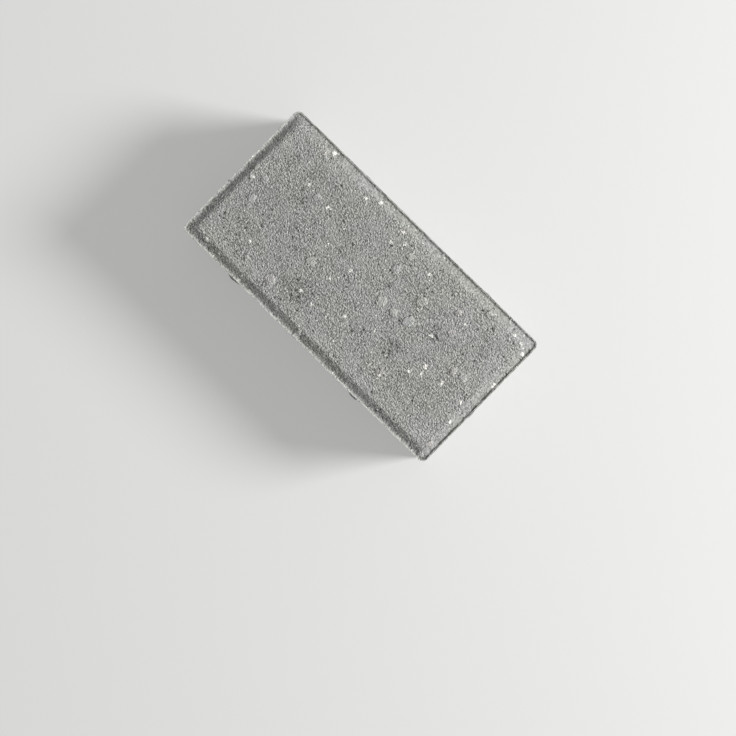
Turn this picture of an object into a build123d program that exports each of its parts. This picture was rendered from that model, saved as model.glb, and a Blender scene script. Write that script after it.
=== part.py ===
"""Rectangular concrete paving stone, pressed as one piece in a steel mould.

The stone lies on its bed face, centred on the origin, with its length along X.
The press shoe leaves a bevelled margin round the wearing face. Concrete squeezed up
between shoe and mould wall leaves a narrow raised lip outside that margin.
Half-round spacer nibs on the four sides keep the joint open when stones are laid.
"""

import os

from build123d import *

# Ground that one stone takes up when laid, and the joint left between two stones.
module_length = 200.0
module_width = 100.0
joint = 2.0
thickness = 60.0
corner_radius = 4.0

# Margin round the wearing face, from the side face inwards.
lip_width = 1.0
lip_height = 0.6
lip_flank_run = 0.45
lip_rounding = 0.28
ledge_width = 0.7
foot_rounding = 1.8
bevel_run = 4.2
bevel_drop = 2.3
shoulder_corner_radius = 3.5
shoulder_rounding = 2.6

# Spacer nibs. Each is off the middle of its side or half side, so that no two meet in a bond.
nib_width = 8.0
nib_projection = 1.5
nib_root = 1.0
nib_shift = 8.0
nib_top_gap = 12.0
nib_runout = 4.0

# Sizes, levels and insets that follow from those above.
length = module_length - joint
width = module_width - joint
foot_level = thickness - bevel_drop
lip_level = foot_level + lip_height
flank_foot_inset = lip_width + lip_flank_run
foot_inset = flank_foot_inset + ledge_width
shoulder_inset = foot_inset + bevel_run
nib_height = thickness - nib_top_gap


def outline(inset, radius):
    """Plan of the stone drawn in by an inset, with its own corner radius."""
    return RectangleRounded(length - 2 * inset, width - 2 * inset, radius)


# One spacer nib, standing on the bed plane with its back in the wall and its crest towards +Y.
with BuildPart() as spacer_nib:
    with BuildSketch():
        with BuildLine():
            crest = ThreePointArc((-nib_width / 2, 0), (0, nib_projection), (nib_width / 2, 0))
            Polyline(crest @ 1, (nib_width / 2, -nib_root), (-nib_width / 2, -nib_root), crest @ 0)
        make_face()
    extrude(amount=nib_height)
    # The upper end slopes back into the wall.
    with BuildSketch(Plane.YZ):
        with BuildLine():
            Polyline(
                (-nib_root, 0),
                (nib_projection, 0),
                (nib_projection, nib_height - nib_runout),
                (0, nib_height),
                (-nib_root, nib_height),
                close=True,
            )
        make_face()
    extrude(amount=nib_width / 2, both=True, mode=Mode.INTERSECT)

# The stone itself: block, trough inside the lip, raised field, roundings, nibs.
with BuildPart() as paving_stone:
    with BuildSketch():
        outline(0, corner_radius)
    extrude(amount=lip_level)

    # Trough between lip and bevel, with the lip's sloping inner flank.
    with BuildSketch(Plane.XY.offset(foot_level)):
        outline(flank_foot_inset, corner_radius - flank_foot_inset)
    with BuildSketch(Plane.XY.offset(lip_level)):
        outline(lip_width, corner_radius - lip_width)
    loft(ruled=True, mode=Mode.SUBTRACT)

    # Field inside the trough: the bevel rises from its foot to the wearing face.
    with BuildSketch(Plane.XY.offset(foot_level)):
        outline(foot_inset, corner_radius - foot_inset)
    with BuildSketch(Plane.XY.offset(thickness)):
        outline(shoulder_inset, shoulder_corner_radius)
    loft(ruled=True)

    # The pressed turn at the bevel's foot is hollow, and its shoulder is soft.
    bevel_edges = paving_stone.edges(Select.LAST)
    foot_edges = bevel_edges.group_by(Axis.Z)[0]
    shoulder_edges = bevel_edges.group_by(Axis.Z)[-1]
    fillet(shoulder_edges, shoulder_rounding)
    fillet(foot_edges, foot_rounding)

    # Crest of the lip, rounded towards the side face and towards the trough.
    lip_edges = paving_stone.edges().filter_by_position(Axis.Z, lip_level, lip_level)
    fillet(lip_edges, lip_rounding)

    # Two nibs on each long side and one on each short side, alike under a half turn.
    with PolarLocations(0, 2):
        with Locations(
            Location((-module_length / 4 + nib_shift, width / 2, 0)),
            Location((module_length / 4 + nib_shift, width / 2, 0)),
            Location((length / 2, -nib_shift, 0), (0, 0, -90)),
        ):
            add(spacer_nib.part)

paving_stone.part.label = "paving_stone"

os.makedirs("parts", exist_ok=True)
export_step(paving_stone.part, "parts/paving_stone.step")
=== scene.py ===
import math

import bmesh
import bpy
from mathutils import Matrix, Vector


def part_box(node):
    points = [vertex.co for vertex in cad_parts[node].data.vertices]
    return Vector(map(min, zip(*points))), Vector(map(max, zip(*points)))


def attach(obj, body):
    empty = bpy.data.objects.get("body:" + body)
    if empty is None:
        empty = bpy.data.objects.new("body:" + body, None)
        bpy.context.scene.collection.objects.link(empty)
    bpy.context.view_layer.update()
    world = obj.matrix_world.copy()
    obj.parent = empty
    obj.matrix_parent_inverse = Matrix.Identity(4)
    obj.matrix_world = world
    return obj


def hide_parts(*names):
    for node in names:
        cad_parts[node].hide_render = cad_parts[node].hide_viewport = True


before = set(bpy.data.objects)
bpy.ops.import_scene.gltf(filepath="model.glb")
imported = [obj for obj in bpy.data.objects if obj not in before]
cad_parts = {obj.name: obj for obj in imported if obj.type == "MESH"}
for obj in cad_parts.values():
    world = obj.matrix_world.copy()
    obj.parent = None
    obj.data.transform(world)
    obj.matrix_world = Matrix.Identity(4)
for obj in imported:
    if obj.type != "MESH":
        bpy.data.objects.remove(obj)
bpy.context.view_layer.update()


# The paving stone as it leaves the mould: one casting of semi-dry concrete, pressed by a shoe
# that leaves a bevelled margin, with a thin lip of mortar squeezed up between shoe and mould.
# Half-round nibs on its sides keep the joint open. Its grid of faces crowds towards the arrises.
mm = 0.001
stone_low, stone_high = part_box("paving_stone")
thickness = stone_high.z
nib_projection = 1.5 * mm
half_length = stone_high.x - nib_projection
half_width = stone_high.y - nib_projection
corner_radius = 4.0 * mm

lip_width = 1.0 * mm
lip_height = 0.6 * mm
lip_flank_run = 0.45 * mm
lip_rounding = 0.28 * mm
flank_blend = 0.12 * mm
ledge_width = 0.7 * mm
foot_blend = 0.22 * mm
bevel_run = 4.2 * mm
bevel_drop = 2.3 * mm
shoulder_blend = 0.6 * mm
shoulder_corner_radius = 3.5 * mm

foot_level = thickness - bevel_drop
lip_level = foot_level + lip_height
foot_inset = lip_width + lip_flank_run + ledge_width
shoulder_inset = foot_inset + bevel_run
wall_top = lip_level - lip_rounding

nib_width = 8.0 * mm
nib_shift = 8.0 * mm
nib_top = thickness - 12.0 * mm
nib_runout = 4.0 * mm
nib_fade = 2.0 * mm
quarter_module = 50.0 * mm
long_side_nibs = (nib_shift - quarter_module, nib_shift + quarter_module)
short_side_nibs = (-nib_shift,)

face_pitch = 0.42 * mm
wall_pitch = 0.95 * mm
fine_band = 7.5 * mm
fine_lines = 26
wall_fine_band = 3.0 * mm
wall_fine_lines = 8
crowding = 1.5


def soft_min(a, b, blend):
    """The lesser of two levels, with their meeting rounded over."""
    overlap = max(blend - abs(a - b), 0) / blend
    return min(a, b) - overlap * overlap * blend / 4


def soft_max(a, b, blend):
    """The greater of two levels, with their meeting rounded over."""
    return -soft_min(-a, -b, blend)


def pressed_level(inset):
    """Height of the pressed top, by the distance in from the side face."""
    flank = lip_level - lip_height * (inset - lip_width) / lip_flank_run
    bevel = foot_level + bevel_drop * (inset - foot_inset) / bevel_run
    lip = soft_min(lip_level, soft_max(flank, foot_level, flank_blend), flank_blend)
    level = soft_min(thickness, soft_max(lip, bevel, foot_blend), shoulder_blend)
    fall = max(lip_rounding - inset, 0)
    return level - lip_rounding + math.sqrt(lip_rounding**2 - fall**2)


def ring_radius(inset):
    """Corner radius of the ring of faces that lies this far in from the side face."""
    if inset < foot_inset:
        return corner_radius - inset
    across = (inset - foot_inset) / bevel_run
    foot_radius = corner_radius - foot_inset
    radius = foot_radius + (shoulder_corner_radius - foot_radius) * across
    beyond = max(inset - shoulder_inset, 0)
    return max(min(radius, shoulder_corner_radius) - beyond / 2, 0)


def nib_stand(along, level, centres):
    """How far a spacer nib stands out of the wall at a place along it."""
    arc_radius = (nib_width**2 / 4 + nib_projection**2) / (2 * nib_projection)
    runout = nib_projection * (nib_top - level) / nib_runout
    stand = 0
    for centre in centres:
        if abs(along - centre) < nib_width / 2:
            arc = math.sqrt(arc_radius**2 - (along - centre) ** 2)
            stand = max(min(arc - arc_radius + nib_projection, runout), 0)
    return stand


def line_places(half, pitch, band, band_lines):
    """Places of the grid lines from -half to half, crowded into a band at both ends."""
    inner_lines = math.ceil((half - band) / pitch)
    places = [half - band * (n / band_lines) ** crowding for n in range(band_lines)]
    places += [(half - band) * (1 - n / inner_lines) for n in range(inner_lines)]
    return [-place for place in places] + [0] + places[::-1]


columns = line_places(half_length, face_pitch, fine_band, fine_lines)
rows = line_places(half_width, face_pitch, fine_band, fine_lines)
courses = line_places(wall_top / 2, wall_pitch, wall_fine_band, wall_fine_lines)

# The block starts as a cube from -1 to 1, cut evenly into as many lines as each list holds.
block = bmesh.new()
bmesh.ops.create_cube(block, size=2)
for axis, lines in enumerate((columns, rows, courses)):
    along_axis = [e for e in block.edges if abs(e.verts[0].co[axis] - e.verts[1].co[axis]) > 1]
    bmesh.ops.subdivide_edges(block, edges=along_axis, cuts=len(lines) - 2, use_grid_fill=True)

cast_place = block.verts.layers.float_vector.new("cast_place")
cast_inset = block.verts.layers.float.new("cast_inset")
for vert in block.verts:
    column, row, course = (
        round((vert.co[axis] + 1) / 2 * (len(lines) - 1))
        for axis, lines in enumerate((columns, rows, courses))
    )
    x, y, z = columns[column], rows[row], courses[course] + wall_top / 2
    gap_x, gap_y = half_length - abs(x), half_width - abs(y)
    inset = min(gap_x, gap_y)
    # Near a corner the square ring of faces is bent round an arc.
    radius = ring_radius(inset)
    run = abs(gap_x - gap_y)
    on_end = gap_x < gap_y
    if run < radius:
        turn = (1 - run / radius) * math.pi / 4
        across, along = inset + radius * (1 - math.cos(turn)), inset + radius * (1 - math.sin(turn))
        gap_x, gap_y = (across, along) if on_end else (along, across)
    if course == len(courses) - 1:
        z = pressed_level(inset)
    side_x, side_y = math.copysign(1, x), math.copysign(1, y)
    x, y = side_x * (half_length - gap_x), side_y * (half_width - gap_y)
    fade = max(1 - inset / nib_fade, 0)
    if on_end:
        x += side_x * fade * nib_stand(y * side_x, z, short_side_nibs)
    else:
        y += side_y * fade * nib_stand(x * side_y, z, long_side_nibs)
    vert.co = x, y, z
    vert[cast_place] = vert.co
    vert[cast_inset] = inset

stone_mesh = bpy.data.meshes.new("pressed_stone")
block.to_mesh(stone_mesh)
block.free()
stone = bpy.data.objects.new("concrete_paving_stone", stone_mesh)
bpy.context.collection.objects.link(stone)


# The concrete, as it lies in the mould: where it is open or dense, where a pebble or a pale
# grain lies at the surface, and where air or a drag of the shoe left a pit. The same marks
# shape the casting and colour it, so that each pit is painted dark with shade and some dirt,
# and each pebble stands in its rim, a groove painted with shade.
class Field:
    """A quantity that varies over the stone: one output of a node. Arithmetic adds Math nodes."""

    def __init__(self, socket):
        self.socket = socket

    @staticmethod
    def node(tree, kind, settings, inputs):
        """Adds a node, with its settings first and then its inputs, and gives its first output."""
        node = tree.nodes.new(kind)
        for name, value in settings.items():
            setattr(node, name, value)
        for name, value in inputs.items():
            if isinstance(value, Field):
                tree.links.new(value.socket, node.inputs[name])
            else:
                node.inputs[name].default_value = value
        return Field(next((output for output in node.outputs if output.enabled), None))

    def out(self, name):
        """Another output of the same node."""
        return Field(self.socket.node.outputs[name])

    def then(self, kind, settings, inputs):
        """Adds a node to the same tree."""
        return Field.node(self.socket.id_data, kind, settings, inputs)

    def math(self, operation, first, second):
        return self.then("ShaderNodeMath", {"operation": operation}, {0: first, 1: second})

    def vector_math(self, operation, inputs):
        return self.then("ShaderNodeVectorMath", {"operation": operation}, inputs)

    def __add__(self, other):
        return self.math("ADD", self, other)

    def __sub__(self, other):
        return self.math("SUBTRACT", self, other)

    def __rsub__(self, other):
        return self.math("SUBTRACT", other, self)

    def __mul__(self, other):
        return self.math("MULTIPLY", self, other)

    def __lt__(self, other):
        return self.math("LESS_THAN", self, other)

    __radd__ = __add__
    __rmul__ = __mul__

    def least(self, other):
        return self.math("MINIMUM", self, other)

    def most(self, other):
        return self.math("MAXIMUM", self, other)

    def rise(self, low, high):
        """0 up to low and 1 from high on, smoothly. It falls instead where low is above high."""
        if low > high:
            return 1 - self.rise(high, low)
        settings = {"interpolation_type": "SMOOTHSTEP"}
        return self.then("ShaderNodeMapRange", settings, {0: self, 1: low, 2: high})

    def times(self, factor):
        """A vector or a colour made longer or brighter."""
        return self.vector_math("SCALE", {0: self, "Scale": factor})

    def plus(self, other):
        """The sum of two vectors."""
        return self.vector_math("ADD", {0: self, 1: other})

    def scaled(self, factors):
        """A vector with each of its three parts made longer by its own factor."""
        return self.vector_math("MULTIPLY", {0: self, 1: factors})

    def stretched(self, sizes):
        """A place in millimetres, counted in cells of these three sizes."""
        return self.vector_math("DIVIDE", {0: self, 1: sizes})

    def noise(self, size, detail=2.0, roughness=0.5):
        """Soft noise from about 0 to 1, of features this many millimetres wide."""
        inputs = {"Vector": self, "Scale": 1 / size, "Detail": detail, "Roughness": roughness}
        return self.then("ShaderNodeTexNoise", {"noise_dimensions": "3D"}, inputs)

    def cells(self, size):
        """Grains packed together, one to a cell of this size: the distance to the nearest."""
        inputs = {"Vector": self, "Scale": 1 / size}
        return self.then("ShaderNodeTexVoronoi", {"feature": "F1"}, inputs)

    def luck(self):
        """Three random numbers from 0 to 1 for each cell, as a node with outputs X, Y and Z."""
        return self.then("ShaderNodeSeparateXYZ", {}, {0: self.out("Color")})

    def scattered(self, size, share, least, most):
        """Round spots in a share of the cells of this size, with radii from least to most: how far
        outside the nearest a place lies, in millimetres, and a random number for each spot."""
        cells = self.cells(size)
        luck = cells.luck()
        radius = least + luck.out("Y") * (most - least)
        absent = 1 - (luck.out("X") < share)
        return cells * size - radius + absent * size, luck.out("Z")

    def placed(self, spots):
        """How far outside the nearest of these spots a place lies. Each is (x, y, radius)."""
        off = None
        for x, y, radius in spots:
            away = self.vector_math("DISTANCE", {0: self, 1: (x, y, 0)}) - radius
            off = away if off is None else off.least(away)
        return off

    def blend(self, first, second):
        """A mix of two colours, by a share from 0 to 1."""
        # A Mix node takes its two colours at sockets 6 and 7 and gives the mix at output 2.
        return self.then("ShaderNodeMix", {"data_type": "RGBA"}, {0: self, 6: first, 7: second}).out(2)


# What stands out on the wearing face in the photo, in millimetres from the middle: x, y, radius.
white_grains = (
    (-65.6, 45.4, 1.0), (-68.7, 40.8, 0.7), (-25.9, 43.9, 0.9), (-25.5, 43.0, 0.9),
    (-33.8, 38.7, 0.8), (-63.1, 21.6, 0.8), (-46.2, 19.7, 0.8), (-5.3, 30.9, 0.8),
    (-4.2, 40.0, 0.9), (1.5, 35.8, 0.9), (24.1, 33.2, 0.9), (-89.9, 1.8, 0.9),
    (-10.4, 2.6, 0.9), (49.8, 8.3, 0.8), (51.1, 8.1, 0.6), (-15.6, -9.3, 0.7),
    (-64.6, -26.6, 0.8), (-83.2, -43.5, 1.2), (-12.8, -27.8, 0.8), (5.8, -19.0, 0.9),
    (60.2, -7.2, 1.1), (61.3, -11.8, 0.7), (61.8, -12.8, 0.7), (54.9, -15.8, 0.9),
    (73.3, -7.0, 0.7), (73.9, -7.9, 0.7), (89.6, -7.7, 0.9), (44.4, -29.7, 0.8),
    (84.6, 42.7, 0.8), (90.9, 41.9, 0.9), (95.9, 38.0, 0.8), (97.0, 13.6, 0.8),
    (97.0, 12.2, 0.8), (59.4, 26.8, 0.7), (93.2, -20.2, 0.7), (-23.4, -26.2, 0.8),
)
dark_pits = (
    (72.4, 36.1, 0.9), (71.0, 33.8, 0.5), (30.5, 1.4, 0.8), (67.2, 40.6, 0.7),
    (50.3, 9.7, 0.5), (51.6, 9.9, 0.8), (53.0, 9.6, 0.8), (54.6, 9.2, 0.5),
    (-9.5, 3.8, 0.7), (14.6, -22.2, 0.8), (-49.0, -2.5, 0.6), (-48.9, -7.4, 0.6),
    (-29.4, -23.4, 0.7), (47.3, 13.3, 0.7), (-86.9, -25.7, 0.7), (-20.3, 14.0, 0.6),
    (-29.2, -12.4, 0.4), (-25.6, -28.5, 0.7), (-21.9, -30.2, 0.7), (-26.0, -32.6, 0.8),
)
cream_pebbles = (
    (31.9, 18.6, 2.9), (-31.1, -10.4, 2.7), (65.3, 40.8, 1.9), (14.7, 2.7, 2.8), (24.3, 2.7, 2.0),
)
blue_pebbles = (
    (8.3, 21.3, 2.3), (80.3, 3.6, 2.1), (-82.0, -7.5, 2.0), (34.4, 4.7, 3.0), (-54.6, 19.4, 1.9),
)
rose_pebbles = ((73.7, 1.6, 2.0), (57.6, 17.7, 2.1), (-40.6, -34.6, 2.6))
open_places = (
    (-24.5, -27.0, 9.0), (-34.0, -29.0, 4.0), (51.0, 12.5, 5.0), (38.0, -14.0, 6.0), (-60.0, 13.0, 4.0),
)
lip_chips = (
    (36.1, -49.0, 0.9), (-21.2, -49.0, 0.8), (61.2, 49.0, 0.7), (99.0, -38.0, 1.0), (-99.0, 21.0, 0.6),
)

# Bands of the surface, in millimetres: levels over the bed, insets from the side face, and how
# far along the stone the end starts where the groove inside the lip gets dirt and a painted shadow
# of the lip. A mark grows from the first number to the second.
bed_levels = (0.4, 0.05)
side_levels = (58.0, 54.5)
wall_insets = (0.05, 0.03)
crest_insets = (1.5, 0.6)
lip_insets = (1.7, 1.4)
groove_starts, groove_ends = (1.0, 1.35), (2.2, 1.7)
face_insets = (5.0, 6.8)
dirt_and_lip_shadow_end_starts = (95.0, 96.5)

# How much further off the spots of the top count on the sides and the bed, which they don't
# reach, how far the outline of a spot wanders, and how long the drag marks of the mould are.
keep_off = 5
wander_reach = 1.6
drag_length = 22.0


class Marks:
    """What shows at the surface of the concrete, each as a share from 0 to 1."""

    def __init__(self, place, inset):
        """place and inset are those of the unworn casting, in millimetres."""
        level = place.then("ShaderNodeSeparateXYZ", {}, {0: place}).out("Z")
        self.bed = level.rise(*bed_levels)
        self.wall = inset.rise(*wall_insets) * (1 - self.bed)
        self.side = self.wall * level.rise(*side_levels)
        self.pressed = (1 - self.bed) * (1 - self.wall)
        self.lip = self.pressed * inset.rise(*lip_insets)
        self.crest = self.pressed * inset.rise(*crest_insets)
        self.groove = self.pressed * inset.rise(*groove_starts) * inset.rise(*groove_ends)
        self.face = self.pressed * inset.rise(*face_insets)
        # The groove inside the lip gets a little painted shade all round. At the +X end it also gets
        # dark patches, partly dirt and partly a painted shadow of the lip.
        dirt_and_lip_shadow_end = level.out("X").rise(*dirt_and_lip_shadow_end_starts) * place.noise(4.0).rise(0.38, 0.55)
        self.groove_dirt_and_shade = self.groove * (0.08 + dirt_and_lip_shadow_end * 0.68)
        self.rough = 0.62 + self.face * 0.38 - self.lip * 0.1 - self.side * 0.1 + self.bed * 0.2

        # Spots are drawn on a place that wanders, so that none is quite round.
        wander = place.noise(1.0).out("Color").plus((-0.5, -0.5, -0.5)).times(wander_reach)
        bent = place.plus(wander)
        plan = bent.scaled((1, 1, 0))
        elsewhere = (1 - self.pressed) * keep_off

        zones = (plan.placed(open_places) + place.noise(5.0) * 12).rise(10.0, 2.0)
        patches = place.noise(19.0, roughness=0.6).rise(0.52, 0.72)
        self.open = (patches * 0.35).most(zones) * self.face + patches * self.side * 0.6
        self.open = self.open.most(self.bed * (0.4 + patches * 0.5))

        pit_share = 0.06 + self.open * 0.4 + zones * 0.2
        off, _ = bent.scattered(1.9, share=pit_share, least=0.2, most=0.8)
        off = off.least(plan.placed(dark_pits) + elsewhere)
        self.pit = off.rise(0.15, -0.3)

        # Pebbles: some lie where the photo shows them, with their own hue, and the rest anywhere.
        off, luck = bent.scattered(8.5, share=0.14, least=1.2, most=3.0)
        cream, blue, rose = map(plan.placed, (cream_pebbles, blue_pebbles, rose_pebbles))
        own = cream.least(blue).least(rose) - 0.4
        off = off.least(own) + elsewhere + (place.noise(2.4) - 0.5) * 3.2
        self.pebble = off.rise(0.1, -0.2)
        # A ring just outside each pebble: a groove in the casting, whose colour is darkened with painted
        # shade.
        self.pebble_rim = off.rise(0.5, 0.1) * off.rise(-0.3, 0.05) * place.noise(2.5).rise(0.42, 0.6)
        # A thin ring just inside each pebble's outline, painted pale as a highlight of its edge.
        self.pebble_painted_highlight = off.rise(0.05, -0.1) * off.rise(-0.6, -0.3)
        self.pebble_painted_highlight = self.pebble_painted_highlight * place.noise(1.8).rise(0.42, 0.58)
        here = own.rise(1.0, 0.5)
        hue = luck * (1 - here) + here * 0.4
        hue = hue + blue.rise(1.0, 0.5) * 0.5 - rose.rise(1.0, 0.5) * 0.4
        self.blue = hue.rise(0.6, 0.62)
        self.rose = hue.rise(0.1, 0.08)

        # Pale and dark grains.
        off, luck = bent.scattered(2.6, share=0.46, least=0.25, most=0.68)
        self.fleck = off.rise(0.08, -0.08) * luck.rise(0.0, 0.5) * (0.2 + self.pressed * 0.8)
        chipped = plan.placed(white_grains) + elsewhere + (place.noise(0.8).rise(0.3, 0.7) - 0.4) * 0.8
        self.white_grain = chipped.rise(0.34, 0.16)
        off, _ = bent.scattered(2.1, share=0.08, least=0.2, most=0.55)
        self.dark_grain = off.rise(0.1, -0.1)
        off, _ = place.scattered(2.1, share=0.25, least=0.22, most=0.58)
        self.pock = off.rise(0.15, -0.2) * (1 - self.wall * 0.5)

        # The lip's chips, the drag of the mould down the sides, and the sand itself.
        self.chip = (plan.placed(lip_chips) + elsewhere).rise(0.5, -0.5)
        self.drag = place.stretched((1.0, 1.0, drag_length)).noise(1.8).rise(0.35, 0.65) * self.side
        self.sand = place.cells(1.0)
        self.sand_luck = self.sand.luck().out("X")
        self.grain = place.noise(1.0, detail=1.0).rise(0.28, 0.72)
        self.tint = place.noise(1.15, detail=0.0).rise(0.36, 0.64)
        self.coarse = 0.82 + place.noise(8.0, detail=1.0).rise(0.35, 0.65) * 0.32
        self.coarse = self.coarse * (1 - self.wall * 0.45)


# The relief of the casting, cut into its skin. It is modelled dense and then thinned to faces
# that follow it. Depths are in millimetres, and none of them leads out of the plain form.
swell_depth = 0.12
grit_depth = 0.22
open_grit_depth = 0.32
pit_depth = 0.6
pebble_rim_depth = 0.3
pebble_stand = 0.26
white_grain_stand = 0.16
granular_depth = 0.2
drag_depth = 0.28
coarse_bed_depth = 0.4
lip_wear = 0.3
lip_chip_depth = 0.4

relief = bpy.data.node_groups.new("cast_relief", "GeometryNodeTree")
relief.interface.new_socket("Geometry", in_out="INPUT", socket_type="NodeSocketGeometry")
relief.interface.new_socket("Geometry", in_out="OUTPUT", socket_type="NodeSocketGeometry")


def relief_node(kind, settings, inputs):
    return Field.node(relief, kind, settings, inputs)


smooth_stone = relief_node("NodeGroupInput", {}, {})
vector_setting, number_setting = {"data_type": "FLOAT_VECTOR"}, {"data_type": "FLOAT"}
place = relief_node("GeometryNodeInputNamedAttribute", vector_setting, {"Name": "cast_place"})
inset = relief_node("GeometryNodeInputNamedAttribute", number_setting, {"Name": "cast_inset"})
normal = relief_node("GeometryNodeInputNormal", {}, {})
place = place.times(1 / mm)
inset = inset * (1 / mm)
marks = Marks(place, inset)

swell = place.noise(32.0, detail=1.0).rise(0.2, 0.8) * swell_depth
grit = place.noise(1.2, detail=1.0).rise(0.25, 0.75) * marks.rough * grit_depth
open_grit = place.noise(2.4).rise(0.3, 0.7) * (marks.side + marks.bed) * open_grit_depth
pits = marks.pit * pit_depth
rims = marks.pebble_rim * pebble_rim_depth + (marks.pressed - marks.pebble) * pebble_stand
granular = place.noise(0.9).rise(0.55, 0.35) * marks.open * granular_depth
drag = marks.drag * drag_depth
coarse_bed = place.noise(3.4, roughness=0.6).rise(0.35, 0.75) * marks.bed * coarse_bed_depth
depth = swell + grit + open_grit + pits + rims + granular + drag + coarse_bed
depth = depth - marks.white_grain * white_grain_stand
worn_lip = place.noise(7.0).rise(0.52, 0.7) * lip_wear + place.noise(2.4).rise(0.56, 0.66) * lip_wear
sunk = marks.lip * (worn_lip + marks.chip * lip_chip_depth)
lowered = relief_node("ShaderNodeCombineXYZ", {}, {"Z": sunk * -mm})
shift = normal.times(depth * -mm).plus(lowered)
cut = relief_node("GeometryNodeSetPosition", {}, {"Geometry": smooth_stone, "Offset": shift})
marked = {"Geometry": cut, "Name": "cast_pebble", "Value": marks.pebble}
cut = relief_node("GeometryNodeStoreNamedAttribute", {"domain": "POINT"}, marked)
relief_node("NodeGroupOutput", {}, {0: cut})

most_triangles = 188000
stone.modifiers.new("relief", "NODES").node_group = relief
thinning = stone.modifiers.new("thinning", "DECIMATE")
thinning.ratio = most_triangles / (2 * len(stone_mesh.polygons))
evaluated = stone.evaluated_get(bpy.context.evaluated_depsgraph_get())
cast_mesh = bpy.data.meshes.new_from_object(evaluated)
stone.modifiers.clear()
stone.data = cast_mesh

# Its faces are laid out flat: the pressed top over the upper half of the map, and the bed and
# the four sides below it at about half that scale.
map_scale = 0.98 / (stone_high.x - stone_low.x)
lower_scale = map_scale * 0.48
top_middle, bed_middle = (0.5, 0.75), (0.26, 0.13)
long_side_middles = {1: (0.26, 0.34), -1: (0.74, 0.34)}
short_side_middles = {1: (0.62, 0.16), -1: (0.86, 0.16)}
top_edge = 0.03 * mm
bed_edge = 0.3 * mm

cast = bmesh.new()
cast.from_mesh(cast_mesh)
cast_place = cast.verts.layers.float_vector["cast_place"]
cast_inset = cast.verts.layers.float["cast_inset"]
chart = cast.loops.layers.uv.new("OFBake")
for vert in cast.verts:
    vert.co = [min(max(c, low), high) for c, low, high in zip(vert.co, stone_low, stone_high)]
for face in cast.faces:
    on_bed = max(vert[cast_place].z for vert in face.verts) < bed_edge
    on_top = not on_bed and max(vert[cast_inset] for vert in face.verts) > top_edge
    on_end = abs(face.normal.x) > abs(face.normal.y)
    side = math.copysign(1, face.normal.x if on_end else face.normal.y)
    for loop in face.loops:
        spot = loop.vert[cast_place]
        rise = spot.z - thickness / 2
        if on_top:
            middle, scale, across, up = top_middle, map_scale, spot.x, spot.y
        elif on_bed:
            middle, scale, across, up = bed_middle, lower_scale, spot.x, -spot.y
        elif on_end:
            middle, scale, across, up = short_side_middles[side], lower_scale, side * spot.y, rise
        else:
            middle, scale, across, up = long_side_middles[side], lower_scale, -side * spot.x, rise
        loop[chart].uv = (middle[0] + across * scale, middle[1] + up * scale)
cast.to_mesh(cast_mesh)
cast.free()
cast_mesh.shade_smooth()
cast_mesh.set_sharp_from_angle(angle=math.radians(55))


# The colour of the concrete: grey cement paste and sand, warmer or cooler from place to place,
# with the pale mortar of the lip, pebbles of three hues, pale grains, painted shade in every pit
# and groove, and a painted highlight at the edge of each pebble.
warm_grey = (0.312, 0.316, 0.293, 1)
cool_grey = (0.304, 0.304, 0.297, 1)
white = (0.88, 0.86, 0.80, 1)
cream = (0.55, 0.55, 0.505, 1)
rose = (0.49, 0.455, 0.435, 1)
slate = (0.48, 0.505, 0.51, 1)
# The dark mixed in as painted shade in pits, pocks and grooves, and as dirt and dark grains.
shade_dirt_and_grain_dark = (0.10, 0.10, 0.09, 1)
mortar = (0.58, 0.57, 0.54, 1)

mean_tone = 1.17
face_lift = 0.12
face_edge_lift = 0.11
cloud_contrast = 0.22
sand_contrast = 0.32
tint_contrast = 0.6
sand_gap_shade = 0.2
open_shade = 0.14
drag_shade = 0.1

grain_height = 0.43
sand_height = 0.15
pock_depth = 0.5
pebble_height = 0.3
fleck_height = 0.22

concrete = bpy.data.materials.new("pressed_concrete")
concrete.use_nodes = True
shades = concrete.node_tree
shades.nodes.clear()


def carried(name):
    """A quantity that the casting carries at each of its points."""
    return Field.node(shades, "ShaderNodeAttribute", {"attribute_name": name}, {})


place = carried("cast_place").out("Vector").times(1 / mm)
inset = carried("cast_inset").out("Fac") * (1 / mm)
smoothed = carried("cast_pebble").out("Fac")
marks = Marks(place, inset)

ground = place.noise(26.0, detail=3.0, roughness=0.55).rise(0.4, 0.6).blend(warm_grey, cool_grey)
cloud = (place.noise(26.0) - 0.5) * cloud_contrast
grains = (marks.sand_luck - 0.5) * sand_contrast + (marks.tint - 0.5) * tint_contrast
grains = grains - marks.sand.rise(0.35, 0.75) * sand_gap_shade
grains = grains * (1 - marks.pebble * 0.35) * (0.6 + marks.rough * 0.4) * marks.coarse
tone = mean_tone + marks.face * (face_lift + inset.rise(20.0, 7.0) * face_edge_lift)
tone = tone + cloud + grains - marks.open * open_shade - marks.drag * drag_shade
colour = ground.times(tone)
pebble_colour = marks.rose.blend(marks.blue.blend(cream, slate), rose)
colour = (marks.pebble * (0.12 + place.noise(1.7).rise(0.4, 0.6) * 0.42)).blend(colour, pebble_colour)
# Painted highlight round the edge of each pebble.
colour = (marks.pebble_painted_highlight * 0.4).blend(colour, white)
colour = (marks.crest * (0.3 + place.noise(2.2).rise(0.3, 0.55) * 0.7)).blend(colour, mortar)
colour = marks.fleck.most(marks.white_grain).blend(colour, white)
# Painted shade, with some dirt, in pits and pocks, and painted shade in the grooves round the pebbles
# and inside the lip. Dark grains keep their own colour.
dark = (marks.pit * 0.8).most(marks.pebble_rim * 0.45).most(marks.dark_grain * 0.5)
dark = dark.most(marks.pock * 0.75).most(marks.groove_dirt_and_shade)
colour = dark.blend(colour, shade_dirt_and_grain_dark)

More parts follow.
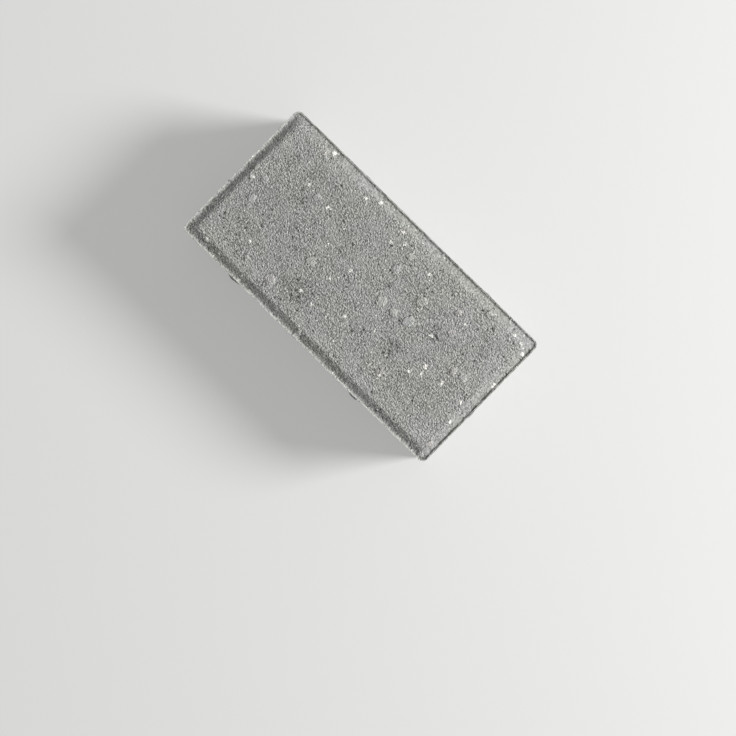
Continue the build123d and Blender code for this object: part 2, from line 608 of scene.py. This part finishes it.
height = marks.grain * grain_height + marks.sand.rise(0.75, 0.1) * sand_height
height = (height * marks.coarse - marks.pock * pock_depth) * marks.rough * (1 - smoothed * 0.25)
height = height + smoothed * pebble_height + marks.fleck * fleck_height
skin = Field.node(shades, "ShaderNodeBump", {}, {"Distance": mm, "Strength": 1.0, "Height": height})
finish = {"Base Color": colour, "Roughness": 0.93, "Specular IOR Level": 0.25, "Normal": skin}
surface = Field.node(shades, "ShaderNodeBsdfPrincipled", {}, finish)
Field.node(shades, "ShaderNodeOutputMaterial", {}, {"Surface": surface})
stone.data.materials.clear()
stone.data.materials.append(concrete)

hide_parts("paving_stone")
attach(stone, "root")


# The studio: a matt pale floor just under the bed, one large soft lamp from beyond the stone's
# +X and +Y sides, and an even light from all round.
floor_half = 3.0
floor_gap = 0.1 * mm
floor_paint = (0.78, 0.78, 0.77, 1)
floor_glow = (0.8, 0.8, 0.79, 1)
glow_share = 0.4

floor_mesh = bpy.data.meshes.new("floor")
floor_form = bmesh.new()
bmesh.ops.create_grid(floor_form, x_segments=1, y_segments=1, size=floor_half)
bmesh.ops.translate(floor_form, verts=floor_form.verts, vec=(0, 0, -floor_gap))
floor_form.to_mesh(floor_mesh)
floor_form.free()
floor = bpy.data.objects.new("studio_floor", floor_mesh)
bpy.context.collection.objects.link(floor)


def seen_by_camera(tree):
    """1 for what the camera sees, straight or in a mirror or through glass, and 0 for light."""
    ray = Field.node(tree, "ShaderNodeLightPath", {}, {})
    return ray.out("Is Camera Ray").most(ray.out("Is Glossy Ray")).most(ray.out("Is Transmission Ray"))


pale = bpy.data.materials.new("pale_floor")
pale.use_nodes = True
coat = pale.node_tree
coat.nodes.clear()
painted = Field.node(coat, "ShaderNodeBsdfDiffuse", {}, {"Color": floor_paint})
glow = Field.node(coat, "ShaderNodeEmission", {}, {"Color": floor_glow})
glow_seen = seen_by_camera(coat) * glow_share
mixed = Field.node(coat, "ShaderNodeMixShader", {}, {0: glow_seen, 1: painted, 2: glow})
Field.node(coat, "ShaderNodeOutputMaterial", {}, {"Surface": mixed})
floor_mesh.materials.append(pale)

key = bpy.data.lights.new("key", "AREA")
key.shape = "DISK"
key.size = 0.7
key.energy = 56.0
key_turn, key_height = math.radians(45), math.radians(30)
key_distance = 2.0
level_part = math.cos(key_height)
to_key = Vector((math.cos(key_turn) * level_part, math.sin(key_turn) * level_part, math.sin(key_height)))
key_lamp = bpy.data.objects.new("key", key)
key_lamp.location = to_key * key_distance + Vector((0, 0, thickness))
key_lamp.rotation_euler = to_key.to_track_quat("Z", "Y").to_euler()
bpy.context.collection.objects.link(key_lamp)

fill_strength = 0.26
backdrop_strength = 0.9
studio = bpy.data.worlds.new("studio")
bpy.context.scene.world = studio
studio.use_nodes = True
air = studio.node_tree
air.nodes.clear()
strength = fill_strength + seen_by_camera(air) * (backdrop_strength - fill_strength)
backdrop = Field.node(air, "ShaderNodeBackground", {}, {"Color": (1, 1, 1, 1), "Strength": strength})
Field.node(air, "ShaderNodeOutputWorld", {}, {"Surface": backdrop})


# The camera looks straight down, and the stone lies at the photo's scale, place and turn.
picture_turn = math.radians(44.4)
picture_side = 736
pixels_per_mm = 1.7075
stone_pixel = (360.52, 286.2)
camera_height = 1.5
right = Vector((math.cos(picture_turn), math.sin(picture_turn), 0))
up = Vector((-math.sin(picture_turn), math.cos(picture_turn), 0))
half_side = picture_side / 2
aim = (right * (half_side - stone_pixel[0]) + up * (stone_pixel[1] - half_side)) / pixels_per_mm * mm
camera = bpy.data.cameras.new("camera")
camera.sensor_width = 36
camera.lens = camera.sensor_width * camera_height / (picture_side / pixels_per_mm * mm)
camera_object = bpy.data.objects.new("camera", camera)
camera_object.location = aim + Vector((0, 0, thickness + camera_height))
camera_object.rotation_euler = (0, 0, picture_turn)
bpy.context.collection.objects.link(camera_object)
bpy.context.scene.camera = camera_object
bpy.context.scene.view_settings.view_transform = "Standard"

bpy.context.view_layer.update()
